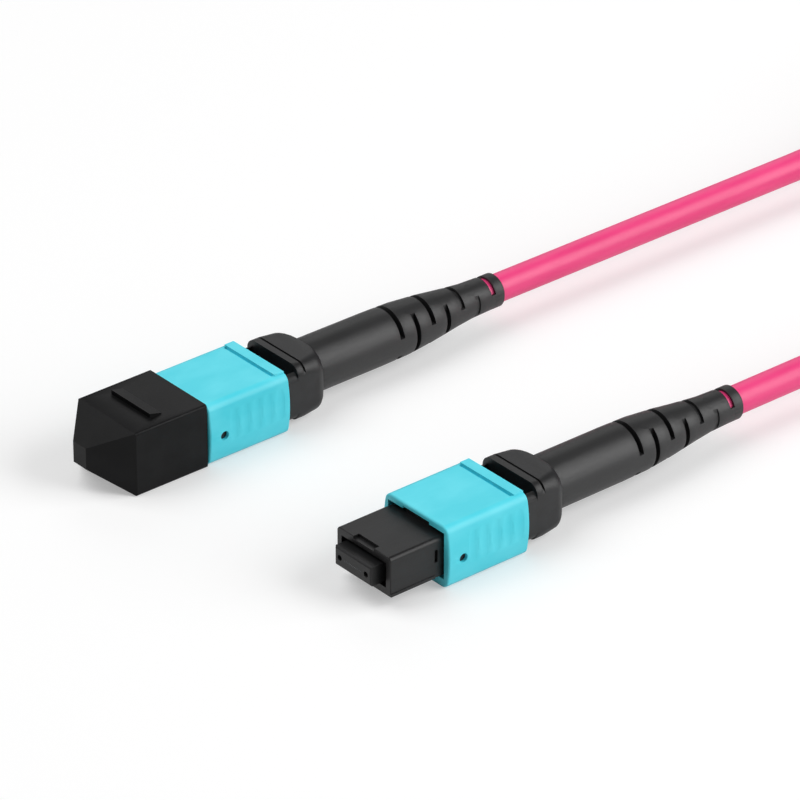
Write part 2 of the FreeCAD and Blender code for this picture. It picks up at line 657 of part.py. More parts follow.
def strain_boot(plug):
    # Tapered rubber boot: deep cuts from above and shallow ones from below, between cuts from the sides
    body = new_body(f"strain_boot_{plug}", plug)
    turned(body, f"boot_{plug}", [
        ("shell_rear", "boot_large_bore / 2"),
        ("boot_step", "boot_large_bore / 2"),
        ("boot_funnel", "boot_small_bore / 2"),
        ("boot_rear", "boot_small_bore / 2"),
        ("boot_rear", "boot_ring_diameter / 2 - boot_ring_bevel"),
        ("boot_rear - boot_ring_bevel", "boot_ring_diameter / 2"),
        ("boot_tip", "boot_ring_diameter / 2"),
        ("boot_tip", "boot_tip_diameter / 2"),
        ("boot_waist", "boot_waist_diameter / 2"),
        ("shell_rear", "boot_root_diameter / 2"),
    ])
    slot_start = "slot_first - slot_width / 2"
    upright = new_sketch(body, f"boot_upright_section_{plug}", "XZ_Plane")
    for low in ("upright_web / 2", "-lower_cut - boot_root_diameter"):
        rectangle(upright, slot_start, f"axis_height + {low}", "slot_width", "boot_root_diameter")
    upright_cut = cut(body, upright, f"boot_upright_{plug}", "boot_root_diameter * 2", both=True)
    repeat(
        body, upright_cut, f"boot_uprights_{plug}", "slot_pairs_upright",
        "2 * slot_pitch * (slot_pairs_upright - 1)")
    sideways = new_sketch(body, f"boot_sideways_section_{plug}", "XY_Plane", "axis_height")
    for low in ("sideways_web / 2", "-sideways_web / 2 - boot_root_diameter"):
        rectangle(sideways, f"{slot_start} + slot_pitch", low, "slot_width", "boot_root_diameter")
    sideways_cut = cut(body, sideways, f"boot_sideways_{plug}", "boot_root_diameter * 2", both=True)
    repeat(
        body, sideways_cut, f"boot_sideway_cuts_{plug}", "slot_pairs_sideways",
        "2 * slot_pitch * (slot_pairs_sideways - 1)")
    # Thin inner skin behind every cut but the last
    turned(body, f"boot_skin_{plug}", [
        ("boot_funnel", "boot_small_bore / 2"),
        ("skin_rear", "boot_small_bore / 2"),
        ("skin_rear", "skin_diameter / 2"),
        ("boot_funnel", "skin_diameter / 2"),
    ])
    return body


def dust_cap():
    # Push-on cap: straight hood, pyramid nose and a thumb rib on top
    body = new_body("dust_cap", "a")
    hood = new_sketch(body, "cap_hood_section", "YZ_Plane", "-cap_gap")
    centred(hood, "cap_width", "0", "cap_height")
    grow(body, hood, "cap_hood", "cap_straight", backwards=True)
    wide = new_sketch(body, "cap_nose_wide", "YZ_Plane", "-cap_gap - cap_straight")
    centred(wide, "cap_width", "0", "cap_height")
    slim = new_sketch(body, "cap_nose_slim", "YZ_Plane", "-cap_gap - cap_straight - cap_nose")
    centred(slim, "cap_nose_width", "cap_nose_middle - cap_nose_height / 2", "cap_nose_height")
    nose = body.newObject("PartDesign::AdditiveLoft", "cap_nose_loft")
    nose.Profile = wide
    nose.Sections = [slim]
    nose.Ruled = True
    doc.recompute()
    half = size("cap_width") / 2
    round_off(
        body, nose, "cap_rounding", "cap_corner",
        lambda e: runs_along(e, "x") and abs(e.CenterOfMass.y) > half - on_plane)
    bore = new_sketch(body, "cap_bore_section", "YZ_Plane", "-cap_gap")
    centred(bore, "cap_bore_width", "cap_bore_low", "cap_bore_height")
    cut(body, bore, "cap_bore", "cap_bore_depth")
    rib = new_sketch(body, "cap_rib_section", "XZ_Plane")
    first = outline(rib, [(-7, 7), (-5, 7), (-5, 8), (-7, 9)])
    rib.addConstraint(Sketcher.Constraint("Horizontal", first))
    rib.addConstraint(Sketcher.Constraint("Vertical", first + 1))
    rib.addConstraint(Sketcher.Constraint("Vertical", first + 3))
    hold(rib, "DistanceX", (-1, 1, first, 1), "rib_front", "-rib_along - rib_length", -7)
    hold(rib, "DistanceX", (first, 1, first, 2), "rib_run", "rib_length", 2)
    hold(rib, "DistanceY", (-1, 1, first, 1), "rib_base", "cap_height - rib_root", 7)
    hold(rib, "DistanceY", (-1, 1, first + 2, 1), "rib_rear_top", "cap_height + rib_rear_height", 8)
    hold(rib, "DistanceY", (-1, 1, first + 3, 1), "rib_front_top", "cap_height + rib_height", 9)
    grow(body, rib, "cap_rib", "rib_width", both=True)
    return body


def coil_spring(name, plug, start, end, width, height, wire, turns, across):
    # Flat-sided helix about the plug's axis direction, ground flat at both ends
    steps = 12
    radius_y, radius_z = (width - wire) / 2, (height - wire) / 2
    rise = (end - start - wire) / turns
    sections = []
    for i in range(steps * turns + 1):
        turn = 2 * math.pi * i / steps
        along = start + wire / 2 + rise * i / steps
        corners = []
        for dx, dr in ((-1, -1), (1, -1), (1, 1), (-1, 1)):
            y = across + (radius_y + dr * wire / 2) * math.cos(turn)
            z = size("axis_height") + (radius_z + dr * wire / 2) * math.sin(turn)
            corners.append(FreeCAD.Vector(along + dx * wire / 2, y, z))
        sections.append(corners)
    faces = [Part.Face(Part.makePolygon(sections[0] + sections[0][:1]))]
    for near, far in zip(sections, sections[1:]):
        for k in range(4):
            a, b, c, d = near[k], near[(k + 1) % 4], far[(k + 1) % 4], far[k]
            faces.append(Part.Face(Part.makePolygon([a, b, c, a])))
            faces.append(Part.Face(Part.makePolygon([a, c, d, a])))
    faces.append(Part.Face(Part.makePolygon(sections[-1] + sections[-1][:1])))
    spring = doc.addObject("Part::Feature", f"{name}_{plug}")
    solid = Part.makeSolid(Part.makeShell(faces))
    spring.Shape = solid if solid.Volume > 0 else solid.reversed()
    plug_x = size("capped_plug_x") if plug == "a" else size("open_plug_x")
    plug_y = size("plug_spacing") / (2 if plug == "a" else -2)
    spring.Placement = FreeCAD.Placement(FreeCAD.Vector(plug_x, plug_y, 0), FreeCAD.Rotation())
    return spring


def springs(plug):
    gap = size("spring_end_gap")
    ferrule_end = size("ferrule_length") - size("housing_reach") - size("ferrule_reach")
    keeper_end = ferrule_end + size("keeper_length")
    lug_end = size("lug_front") + size("lug_length")
    made = [coil_spring(
        "ferrule_spring", plug, keeper_end + gap, size("shell_front") - gap,
        size("ferrule_spring_width"), size("ferrule_spring_height"), size("ferrule_spring_wire"),
        int(size("ferrule_spring_turns")), 0)]
    for side, sign in (("left", 1), ("right", -1)):
        made.append(coil_spring(
            f"coupling_spring_{side}", plug, lug_end + gap, size("neck_front") - gap,
            size("coupling_spring_diameter"), size("coupling_spring_diameter"), size("coupling_spring_wire"),
            int(size("coupling_spring_turns")), sign * size("coupling_spring_offset")))
    return made


# Share of the shorter run that each bend of the cable takes up
arc_share = 0.45


def rounded_path(points):
    # Straight runs joined by tangent arcs, each arc as large as its two runs allow
    edges, start, radii = [], points[0], []
    for before, here, after in zip(points, points[1:], points[2:]):
        back, ahead = before - here, after - here
        half_turn = (math.pi - back.getAngle(ahead)) / 2
        reach = arc_share * min(back.Length, ahead.Length)
        radii.append(reach / math.tan(half_turn))
        back.normalize()
        ahead.normalize()
        arc_start, arc_end = here + back * reach, here + ahead * reach
        towards = (back + ahead).normalize()
        depth = radii[-1] / math.cos(half_turn) - radii[-1]
        edges.append(Part.LineSegment(start, arc_start).toShape())
        edges.append(Part.Arc(arc_start, here + towards * depth, arc_end).toShape())
        start = arc_end
    edges.append(Part.LineSegment(start, points[-1]).toShape())
    return Part.Wire(edges), radii


# The coil lies on its strap: height of its underside and of its two layers, then its outer turn
coil_low = size("tie_thickness") + size("tie_gap")
floor_height = coil_low + size("cable_diameter") / 2
upper_height = coil_low + size("cable_diameter") * 1.5
outer_turn = size("coil_inner_turn") + size("coil_turn_pitch") * size("coil_layer_turns")


def cable_route(plug):
    # Start in the boot, bend, start of the coil's lead, and the point where the lead meets the outer turn
    side, height = (1, upper_height) if plug == "a" else (-1, floor_height)
    plug_x = size("capped_plug_x") if plug == "a" else size("open_plug_x")
    plug_y = side * size("plug_spacing") / 2
    bend = FreeCAD.Vector(size(f"run_{plug}_bend"), plug_y, size("axis_height"))
    start = FreeCAD.Vector(plug_x + size("jacket_start"), plug_y, size("axis_height"))
    across, along = plug_y, size("coil_middle_x") - bend.x
    swing = math.asin(outer_turn / math.hypot(along, across)) - math.atan2(abs(across), along)
    meet_x = size("coil_middle_x") - outer_turn * math.sin(swing)
    meet = FreeCAD.Vector(meet_x, side * outer_turn * math.cos(swing), height)
    lead = meet + (bend - meet).normalize() * size("coil_lead")
    return start, bend, lead, meet


def cable_run(plug):
    # Round jacket from the boot to the coil
    path, radii = rounded_path(cable_route(plug)[:3])
    print(f"cable_run_{plug}: bend radii", [round(r, 1) for r in radii], "length", round(path.Length, 1))
    start, bend = cable_route(plug)[:2]
    disc = Part.Wire(Part.makeCircle(size("cable_diameter") / 2, start, bend - start))
    run = doc.addObject("Part::Feature", f"cable_run_{plug}")
    run.Shape = path.makePipeShell([disc], True, False)
    expected = math.pi * size("cable_diameter") ** 2 / 4 * path.Length
    print(f"cable_run_{plug}: volume", round(run.Shape.Volume, 2), "section times length", round(expected, 2))
    return run


coil_middle = FreeCAD.Vector(size("coil_middle_x"), 0, 0)
coil_inner = size("coil_inner_turn") - size("coil_inner_dip") - size("cable_diameter") / 2
coil_outer = outer_turn + size("cable_diameter") / 2
upward = FreeCAD.Vector(0, 0, 1)


def coil_section(margin):
    # Eight-sided section of the coil, grown by a margin all round
    inner, outer = coil_inner - margin, coil_outer + margin
    low, high = coil_low - margin, coil_low + 2 * size("cable_diameter") + margin
    edge = size("coil_edge") + (2 - math.sqrt(2)) * margin
    section = [
        (inner + edge, low), (outer - edge, low), (outer, low + edge), (outer, high - edge),
        (outer - edge, high), (inner + edge, high), (inner, high - edge), (inner, low + edge)]
    corners = [coil_middle + FreeCAD.Vector(radius, 0, up) for radius, up in section]
    return Part.Face(Part.makePolygon(corners + corners[:1]))


def cable_coil():
    # Outer shape of the wound coil: a flat ring with the two leads that join the runs
    ring = coil_section(0).revolve(coil_middle, upward, 360)
    for plug in ("a", "b"):
        lead, meet = cable_route(plug)[2:]
        ring = ring.fuse(Part.makeCylinder(size("cable_diameter") / 2, size("coil_lead"), lead, meet - lead))
    coil = doc.addObject("Part::Feature", "cable_coil")
    coil.Shape = ring.removeSplitter()
    return coil


def coil_tie():
    # Strap that holds the turns together on the side away from the plugs
    inside = size("tie_gap")
    outside = inside + size("tie_thickness")
    band = coil_section(outside).cut(coil_section(inside))
    turn = math.degrees(size("tie_width") / ((coil_inner + coil_outer) / 2))
    band.rotate(coil_middle, upward, -turn / 2)
    tie = doc.addObject("Part::Feature", "coil_tie")
    tie.Shape = band.revolve(coil_middle, upward, turn).Solids[0]
    return tie


made = []
plug_pieces = (
    coupling_sleeve, inner_housing, ferrule, ribbon_boot, pin_keeper, back_shell, crimp_ring, strain_boot,
    fibre_ribbon)
for plug in ("a", "b"):
    for piece in plug_pieces:
        made.append(piece(plug))
    made += springs(plug)
    made.append(cable_run(plug))
made.append(dust_cap())
made.append(cable_coil())
made.append(coil_tie())
doc.recompute()

os.makedirs("parts", exist_ok=True)
for obj in doc.Objects:
    if "Invalid" in obj.State or "Error" in obj.State:
        raise RuntimeError(f"{obj.Name} failed: {obj.State}")
for obj in made:
    obj.Label = obj.Name
    if obj.Shape.isNull() or not obj.Shape.isValid():
        raise RuntimeError(f"{obj.Name} has a bad shape")
    if len(obj.Shape.Solids) != 1:
        raise RuntimeError(f"{obj.Name} has {len(obj.Shape.Solids)} solids")
for obj in made:
    obj.Shape.exportStep(f"parts/{obj.Label}.step")
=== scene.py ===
import bpy
import bmesh
import math
from mathutils import Matrix, Vector


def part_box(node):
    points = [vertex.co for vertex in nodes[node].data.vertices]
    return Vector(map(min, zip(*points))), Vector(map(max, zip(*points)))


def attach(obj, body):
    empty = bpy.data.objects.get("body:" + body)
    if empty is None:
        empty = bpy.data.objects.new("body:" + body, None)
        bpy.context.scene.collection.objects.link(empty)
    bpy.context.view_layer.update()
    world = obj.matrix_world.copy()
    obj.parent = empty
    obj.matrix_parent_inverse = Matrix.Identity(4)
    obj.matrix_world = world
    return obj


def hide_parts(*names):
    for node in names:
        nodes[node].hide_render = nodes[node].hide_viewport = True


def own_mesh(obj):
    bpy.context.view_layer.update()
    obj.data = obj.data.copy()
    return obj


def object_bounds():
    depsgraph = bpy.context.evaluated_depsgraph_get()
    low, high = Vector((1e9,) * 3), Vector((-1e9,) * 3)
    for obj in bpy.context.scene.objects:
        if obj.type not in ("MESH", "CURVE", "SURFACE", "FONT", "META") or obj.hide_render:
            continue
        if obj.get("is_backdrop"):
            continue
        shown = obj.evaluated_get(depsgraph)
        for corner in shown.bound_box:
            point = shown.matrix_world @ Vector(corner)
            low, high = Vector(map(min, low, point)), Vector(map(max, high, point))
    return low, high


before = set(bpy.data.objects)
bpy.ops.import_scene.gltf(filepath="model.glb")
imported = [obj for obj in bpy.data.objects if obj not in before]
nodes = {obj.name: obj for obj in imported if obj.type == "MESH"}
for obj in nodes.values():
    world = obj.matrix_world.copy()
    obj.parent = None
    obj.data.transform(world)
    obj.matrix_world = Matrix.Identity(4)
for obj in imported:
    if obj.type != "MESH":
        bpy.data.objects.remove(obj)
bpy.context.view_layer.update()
mm = 0.001
print("frame loaded:", len(nodes), "nodes")


def hexColor(code):
    parts = [int(code[i:i + 2], 16) / 255 for i in (1, 3, 5)]
    return tuple(c / 12.92 if c <= 0.04045 else ((c + 0.055) / 1.055) ** 2.4 for c in parts) + (1.0,)


def addNode(tree, kind, inputs=None, **settings):
    node = tree.nodes.new(kind)
    for name, value in settings.items():
        setattr(node, name, value)
    for socket, value in (inputs or {}).items():
        if isinstance(value, bpy.types.NodeSocket):
            tree.links.new(value, node.inputs[socket])
        else:
            node.inputs[socket].default_value = value
    return node


cameraView = {
    "target": (8.34, 11.58, 0.0),  # mm, point of the table in the middle of the picture
    "azimuth": -39.78,
    "elevation": 29.99,
    "distance": 0.71,  # metres
    "lens": 270.0,  # long lens, as in close product shots
    "sensor": 36.0,
    "clips": (0.01, 100.0),
}


def makeCamera():
    turn, tilt = math.radians(cameraView["azimuth"]), math.radians(cameraView["elevation"])
    back = Vector((math.sin(turn) * math.cos(tilt), -math.cos(turn) * math.cos(tilt), math.sin(tilt)))
    data = bpy.data.cameras.new("camera")
    data.lens = cameraView["lens"]
    data.sensor_width = cameraView["sensor"]
    data.clip_start, data.clip_end = cameraView["clips"]
    camera = bpy.data.objects.new("camera", data)
    camera.location = Vector(cameraView["target"]) * mm + back * cameraView["distance"]
    camera.rotation_euler = (-back).to_track_quat("-Z", "Y").to_euler()
    bpy.context.scene.collection.objects.link(camera)
    bpy.context.scene.camera = camera


makeCamera()

# One cable from boot to boot, mm: straight in the picture, then wound in two layers behind the plugs
cable = {
    "diameter": 3.6,
    "length": 1000.0,
    "leaveA": [(4.81, 19.2, 4.25), (66.0, 19.2, 4.25), (92.0, 19.2, 4.25)],
    "returnB": [(64.0, -19.2, 4.25), (55.0, -19.2, 4.25), (8.53, -19.2, 4.25)],
    "coilMiddle": (122.8, 0.0),
    "innerTurn": 15.2,
    "turnPitch": 3.65,
    "layerTurns": 2.75,
    "innerDip": 2.0,  # how far the crossing between the layers swings inwards
    "wholeTurns": 6,
    "pointsPerTurn": 24,
    "upperHeight": 5.9,
    "lowerHeight": 2.3,
    "stepsPerPoint": 6,
    "roundness": 12,
}


def swingTo(bend, outer):
    # angle by which a run swings out from its bend to touch the coil's outer turn
    along, across = cable["coilMiddle"][0] - bend[0], abs(bend[1])
    return math.asin(outer / math.hypot(along, across)) - math.atan2(across, along)


def coilPoints():
    layer, pitch = cable["layerTurns"], cable["turnPitch"]
    upper, lower = cable["upperHeight"], cable["lowerHeight"]
    outer = cable["innerTurn"] + pitch * layer
    first = math.pi / 2 + swingTo(cable["leaveA"][-1], outer)
    last = -math.pi / 2 - swingTo(cable["returnB"][0], outer) - 2 * math.pi * cable["wholeTurns"]
    turns = (first - last) / (2 * math.pi)
    count = round(turns * cable["pointsPerTurn"])
    bulge = 2 / (1 + math.cos(math.pi / cable["pointsPerTurn"]))  # the spline runs inside its points
    points = []
    for i in range(count + 1):
        done = turns * i / count
        if done <= layer:
            radius, height = outer - pitch * done, upper
        elif done >= turns - layer:
            radius, height = outer - pitch * (turns - done), lower
        else:
            share = (done - layer) / (turns - 2 * layer)
            radius = cable["innerTurn"] - cable["innerDip"] * math.sin(math.pi * share)
            height = upper + (lower - upper) * share * share * (3 - 2 * share)
        angle = first - 2 * math.pi * done
        x = cable["coilMiddle"][0] + radius * bulge * math.cos(angle)
        y = cable["coilMiddle"][1] + radius * bulge * math.sin(angle)
        points.append((x, y, height))
    return points


def makeCable():
    route = cable["leaveA"] + coilPoints() + cable["returnB"]
    curve = bpy.data.curves.new("cable_jacket", "CURVE")
    curve.dimensions = "3D"
    spline = curve.splines.new("NURBS")
    spline.points.add(len(route) - 1)
    for point, place in zip(spline.points, route):
        point.co = (place[0] * mm, place[1] * mm, place[2] * mm, 1.0)
        point.radius = cable["diameter"] / 2 * mm  # the radius counts in the object's box
    spline.order_u = 3
    spline.use_endpoint_u = True
    spline.resolution_u = cable["stepsPerPoint"]
    spline.use_smooth = True
    curve.bevel_depth = 1.0  # times the radius of each point
    curve.bevel_resolution = cable["roundness"]
    curve.use_fill_caps = True
    piece = bpy.data.objects.new("cable_jacket", curve)
    bpy.context.scene.collection.objects.link(piece)
    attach(piece, "cord")
    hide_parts("cable_run_a", "cable_run_b", "cable_coil")
    return piece


jacket = makeCable()
print("cable laid")


def addPiece(name, bm, body, replaced=None):
    mesh = bpy.data.meshes.new(name)
    for face in bm.faces:
        face.smooth = True
    bm.to_mesh(mesh)
    bm.free()
    piece = bpy.data.objects.new(name, mesh)
    bpy.context.scene.collection.objects.link(piece)
    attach(piece, body)
    if replaced:
        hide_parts(replaced)
    return piece


mergeGap = 0.0005  # mm, closes the joins between a solid's triangles
levelGap = 0.01  # mm, how far a point may be from a level and still lie on it
flatTurn = math.radians(0.4)  # faces that turn less than this are one flat face
sharpTurn = math.radians(32)  # edges that turn more than this are rounded
edgeSteps = 2  # faces across a rounded edge

# Moulded pieces: the solid's own shape, with its sharp edges rounded as the mould leaves them, mm
mouldings = {
    "coupling_sleeve": {"name": "sleeve", "body": "sleeve_{}", "slot": "sleeve_plastic", "edge": 0.10},
    "inner_housing": {"name": "nose", "body": "cord", "slot": "housing_plastic", "edge": 0.11},
    "ferrule": {"name": "fibre_block", "body": "ferrule_group_{}", "slot": "ferrule_moulding", "edge": 0.04},
    "back_shell": {"name": "flange", "body": "cord", "slot": "shell_plastic", "edge": 0.12},
    "strain_boot": {"name": "boot", "body": "cord", "slot": "boot_rubber", "edge": 0.06},
    "dust_cap": {"name": "cap", "body": "cap", "slot": "cap_plastic", "edge": 0.13},
    "coil_tie": {"name": "strap", "body": "cord", "slot": "tie_strap", "edge": 0.15},
}


def roundEdges(piece, width):
    bevel = piece.modifiers.new("edges", "BEVEL")
    bevel.limit_method = "ANGLE"
    bevel.angle_limit = sharpTurn
    bevel.width = width * mm
    bevel.segments = edgeSteps
    bevel.profile = 0.5
    bevel.use_clamp_overlap = True
    normals = piece.modifiers.new("flats", "WEIGHTED_NORMAL")  # keeps the flats flat beside the rounding
    normals.mode = "FACE_AREA_WITH_ANGLE"


# Levels along the plug, mm behind the solid's front: in the solid, and as the photograph has them
movedLevels = {
    "coupling_sleeve": ((10.5, 10.1), (10.85, 10.45), (12.3, 11.9)),  # lip across the rear, and the rear
    "back_shell": ((6.1, 6.32), (7.5, 7.22), (7.85, 7.5)),  # front of the ridge, and the fine line behind it
}


def moveLevels(bm, levels, front):
    for vert in bm.verts:
        along = (vert.co.x - front) / mm
        for solid, seen in levels:
            if abs(along - solid) < levelGap:
                vert.co.x = front + seen * mm
                break


# The fine line crosses the top of the flange and runs out round its upper corners
flangeLine = {
    "levels": (7.22, 7.5), "depth": 0.3,
    "corner": 1.4, "halfWidth": 3.4, "low": 1.85, "high": 6.55,  # of the flange's outline
    "fadeFrom": 0.1, "fadeOver": 0.5,  # how far the surface faces up
}


def fadeLine(bm, front, middle):
    for vert in bm.verts:
        along = (vert.co.x - front) / mm
        if min(abs(along - level) for level in flangeLine["levels"]) > levelGap:
            continue
        place = Vector(((vert.co.y - middle) / mm, vert.co.z / mm))
        core = Vector((max(-flangeLine["halfWidth"], min(flangeLine["halfWidth"], place.x)),
                       max(flangeLine["low"], min(flangeLine["high"], place.y))))
        out = place - core
        bottom = flangeLine["corner"] - flangeLine["depth"]
        if abs(out.length - bottom) > levelGap:
            continue
        out.normalize()
        share = max(0.0, min(1.0, (out.y - flangeLine["fadeFrom"]) / flangeLine["fadeOver"]))
        place = core + out * (flangeLine["corner"] - flangeLine["depth"] * share)
        vert.co.y, vert.co.z = middle + place.x * mm, place.y * mm


# Rear of the flange: the solid's straight taper, swept here as a full round shoulder down to the boot
shoulder = {
    "front": 9.3, "rear": 10.8, "steps": 6, "clearOfBore": 3.0,
    "wide": {"half": (4.8, 3.75), "middle": 4.2, "corner": 1.4, "seenCorner": 1.9},
    "slim": {"half": (3.5, 3.5), "middle": 4.25, "corner": 3.1},
}


def sweepShoulder(bm, front, middle):
    wide, slim = shoulder["wide"], shoulder["slim"]

    def along(vert):
        return (vert.co.x - front) / mm

    def inTaper(face):
        levels = [along(vert) for vert in face.verts]
        out = min(math.hypot(vert.co.y - middle, vert.co.z - slim["middle"] * mm) for vert in face.verts)
        return (min(levels) > shoulder["front"] - levelGap and max(levels) < shoulder["rear"] + levelGap
                and max(levels) - min(levels) > levelGap and out > shoulder["clearOfBore"] * mm)

    def inOrder(verts):
        return sorted(verts, key=lambda vert: math.atan2(vert.co.z - wide["middle"] * mm, vert.co.y - middle))

    bmesh.ops.delete(bm, geom=[face for face in bm.faces if inTaper(face)], context="FACES")
    openEdges = [edge for edge in bm.edges if edge.is_boundary]
    slimLoop = [edge for edge in openEdges if along(edge.verts[0]) > shoulder["rear"] - levelGap]
    loop = [edge for edge in openEdges if edge not in slimLoop]
    ring = inOrder({vert for edge in loop for vert in edge.verts})
    turns = []  # corner that each point belongs to, and its direction from the corner's centre
    for vert in ring:
        place = Vector(((vert.co.y - middle) / mm, vert.co.z / mm - wide["middle"]))
        side = Vector((math.copysign(1, place.x), math.copysign(1, place.y)))
        core = Vector(side[i] * (wide["half"][i] - wide["corner"]) for i in range(2))
        turns.append((side, (place - core).normalized()))
    for step in range(shoulder["steps"]):
        if step > 0:
            grown = bmesh.ops.extrude_edge_only(bm, edges=loop)["geom"]
            loop = [part for part in grown if isinstance(part, bmesh.types.BMEdge)]
            ring = inOrder(part for part in grown if isinstance(part, bmesh.types.BMVert))
        turn = math.pi / 2 * step / shoulder["steps"]
        back, share = math.sin(turn), math.cos(turn)
        level = shoulder["front"] + (shoulder["rear"] - shoulder["front"]) * back
        corner = slim["corner"] + (wide["seenCorner"] - slim["corner"]) * share
        height = slim["middle"] + (wide["middle"] - slim["middle"]) * share
        half = [slim["half"][i] + (wide["half"][i] - slim["half"][i]) * share for i in range(2)]
        for vert, (side, out) in zip(ring, turns):
            across, up = (side[i] * (half[i] - corner) + out[i] * corner for i in range(2))
            vert.co = (front + level * mm, middle + across * mm, (height + up) * mm)
    bmesh.ops.bridge_loops(bm, edges=loop + slimLoop)
    bmesh.ops.recalc_face_normals(bm, faces=bm.faces)


def stretched(value, stops):
    for (low, seenLow), (high, seenHigh) in zip(stops, stops[1:]):
        if value <= high:
            break
    return seenLow + (seenHigh - seenLow) * (value - low) / (high - low)


# Finger scallops of the sleeve: spread along and up the bulged flank, as the photograph has them
scallops = {
    "clearOfMark": 2.75,
    "along": ((4.5, 2.95), (10.5, 11.15)),  # mm in the solid and in the photograph
    "up": ((0.889, 0.889), (2.0, 2.5), (6.0, 6.75), (7.111, 7.111)),
    "flank": 5.45, "facing": 0.5,  # what counts as flank: how far out, and how far it faces sideways
    "bulge": 5.8, "bow": 16.25, "middle": 4.0,  # half width, radius and height of the bulge
}


def spreadScallops(bm, front, middle):
    first, last = (along for along, _ in scallops["along"])
    bottom, top = scallops["up"][0][0], scallops["up"][-1][0]

    def onFlank(vert, start, end):
        along, across, up = (vert.co.x - front) / mm, abs(vert.co.y - middle) / mm, vert.co.z / mm
        return (start - levelGap < along < end + levelGap and bottom - levelGap < up < top + levelGap
                and across > scallops["flank"])

    def cutFlank(place, facing, start, end):
        faces = [face for face in bm.faces if abs(face.normal.y) > scallops["facing"]
                 and all(onFlank(vert, start, end) for vert in face.verts)]
        edges = {edge for face in faces for edge in face.edges}
        verts = {vert for face in faces for vert in face.verts}
        bmesh.ops.bisect_plane(
            bm, geom=faces + list(edges) + list(verts), dist=mergeGap * mm, plane_co=place, plane_no=facing)

    bm.normal_update()
    rear = (max(vert.co.x for vert in bm.verts) - front) / mm
    for along in (scallops["clearOfMark"], first, last):
        cutFlank((front + along * mm, 0, 0), (1, 0, 0), 0, rear)
    for up, _ in scallops["up"][1:-1]:
        cutFlank((0, 0, up * mm), (0, 0, 1), first, last)
    for vert in bm.verts:
        if onFlank(vert, first, last):
            along = stretched((vert.co.x - front) / mm, scallops["along"])
            up = stretched(vert.co.z / mm, scallops["up"])
            rise = math.sqrt(scallops["bow"] ** 2 - (up - scallops["middle"]) ** 2) - scallops["bow"]
            across = math.copysign(scallops["bulge"] + rise, vert.co.y - middle)
            vert.co = (front + along * mm, middle + across * mm, up * mm)


# Rear rim of the sleeve, rounded more than its other edges; the bay inside it stays sharp
sleeveRear = {"round": 0.25, "steps": 3, "bayHalf": 5.0, "bayLow": 0.6, "bayHigh": 7.4}


def roundRear(bm, middle):
    rear = max(vert.co.x for vert in bm.verts)

    def onRim(vert):
        across, up = abs(vert.co.y - middle) / mm, vert.co.z / mm
        outside = across > sleeveRear["bayHalf"] or not sleeveRear["bayLow"] < up < sleeveRear["bayHigh"]
        return rear - vert.co.x < levelGap * mm and outside

    rim = [edge for edge in bm.edges if all(onRim(vert) for vert in edge.verts)]
    bmesh.ops.bevel(
        bm, geom=rim, offset=sleeveRear["round"] * mm, affect="EDGES", segments=sleeveRear["steps"],
        profile=0.5, material=-1, clamp_overlap=True)


# Diameters of the boot at mm behind its front: straight cones in the solid, and in the photograph
# fuller sides and an end ring that lies flush
bootSides = {
    "solid": ((0, 6.9), (14.0, 6.4), (28.25, 4.1)),
    "seen": ((0, 6.9), (10.6, 6.85), (14.6, 6.7), (18.6, 6.0), (22.6, 5.0), (25.1, 4.5), (28.25, 4.3)),
    "slotsFrom": 9.9, "skin": 4.1,  # inside the slots, only what is outside the skin moves
    "reach": 0.03, "join": 0.02,  # how near counts as on a surface, and as one point of the ring
}


def fillBoot(bm, low, high):
    middle, axis = (low.y + high.y) / 2, (low.z + high.z) / 2
    end = bootSides["solid"][-1][0]
    for along, _ in bootSides["seen"][1:-1]:
        bmesh.ops.bisect_plane(
            bm, geom=bm.verts[:] + bm.edges[:] + bm.faces[:], dist=mergeGap * mm,
            plane_co=(low.x + along * mm, 0, 0), plane_no=(1, 0, 0))
    skin = bootSides["skin"] / 2
    for vert in bm.verts:
        along = (vert.co.x - low.x) / mm
        if along > end + levelGap:
            continue
        out = Vector((vert.co.y - middle, vert.co.z - axis)) / mm
        solid = stretched(along, bootSides["solid"]) / 2
        seen = stretched(along, bootSides["seen"]) / 2
        if out.length > solid - bootSides["reach"]:
            size = seen
        elif along > bootSides["slotsFrom"] and out.length > skin + bootSides["reach"]:
            size = skin + (out.length - skin) * (seen - skin) / (solid - skin)
        else:
            continue
        out = out.normalized() * size
        vert.co.y, vert.co.z = middle + out.x * mm, axis + out.y * mm
    ring = [vert for vert in bm.verts if abs((vert.co.x - low.x) / mm - end) < levelGap]
    bmesh.ops.remove_doubles(bm, verts=ring, dist=bootSides["join"] * mm)


def copySolid(kind, node):
    low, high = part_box(node)
    middle = (low.y + high.y) / 2
    bm = bmesh.new()
    bm.from_mesh(nodes[node].data)
    bmesh.ops.remove_doubles(bm, verts=bm.verts, dist=mergeGap * mm)
    moveLevels(bm, movedLevels.get(kind, ()), low.x)
    if kind == "back_shell":
        fadeLine(bm, low.x, middle)
        bmesh.ops.remove_doubles(bm, verts=bm.verts, dist=mergeGap * mm)
        sweepShoulder(bm, low.x, middle)
    if kind == "coupling_sleeve":
        spreadScallops(bm, low.x, middle)
    if kind == "strain_boot":
        fillBoot(bm, low, high)
    bmesh.ops.dissolve_limit(bm, angle_limit=flatTurn, verts=bm.verts, edges=bm.edges)
    if kind == "coupling_sleeve":
        roundRear(bm, middle)
    return bm


pieces = {}
for kind, spec in mouldings.items():
    for node in (kind, kind + "_a", kind + "_b"):
        if node not in nodes:
            continue
        plug = node[len(kind) + 1:]
        name = f"{spec['name']}_{plug}" if plug else spec["name"]
        piece = addPiece(name, copySolid(kind, node), spec["body"].format(plug), node)
        roundEdges(piece, spec["edge"])
        pieces[node] = piece
print("mouldings rounded:", len(pieces))

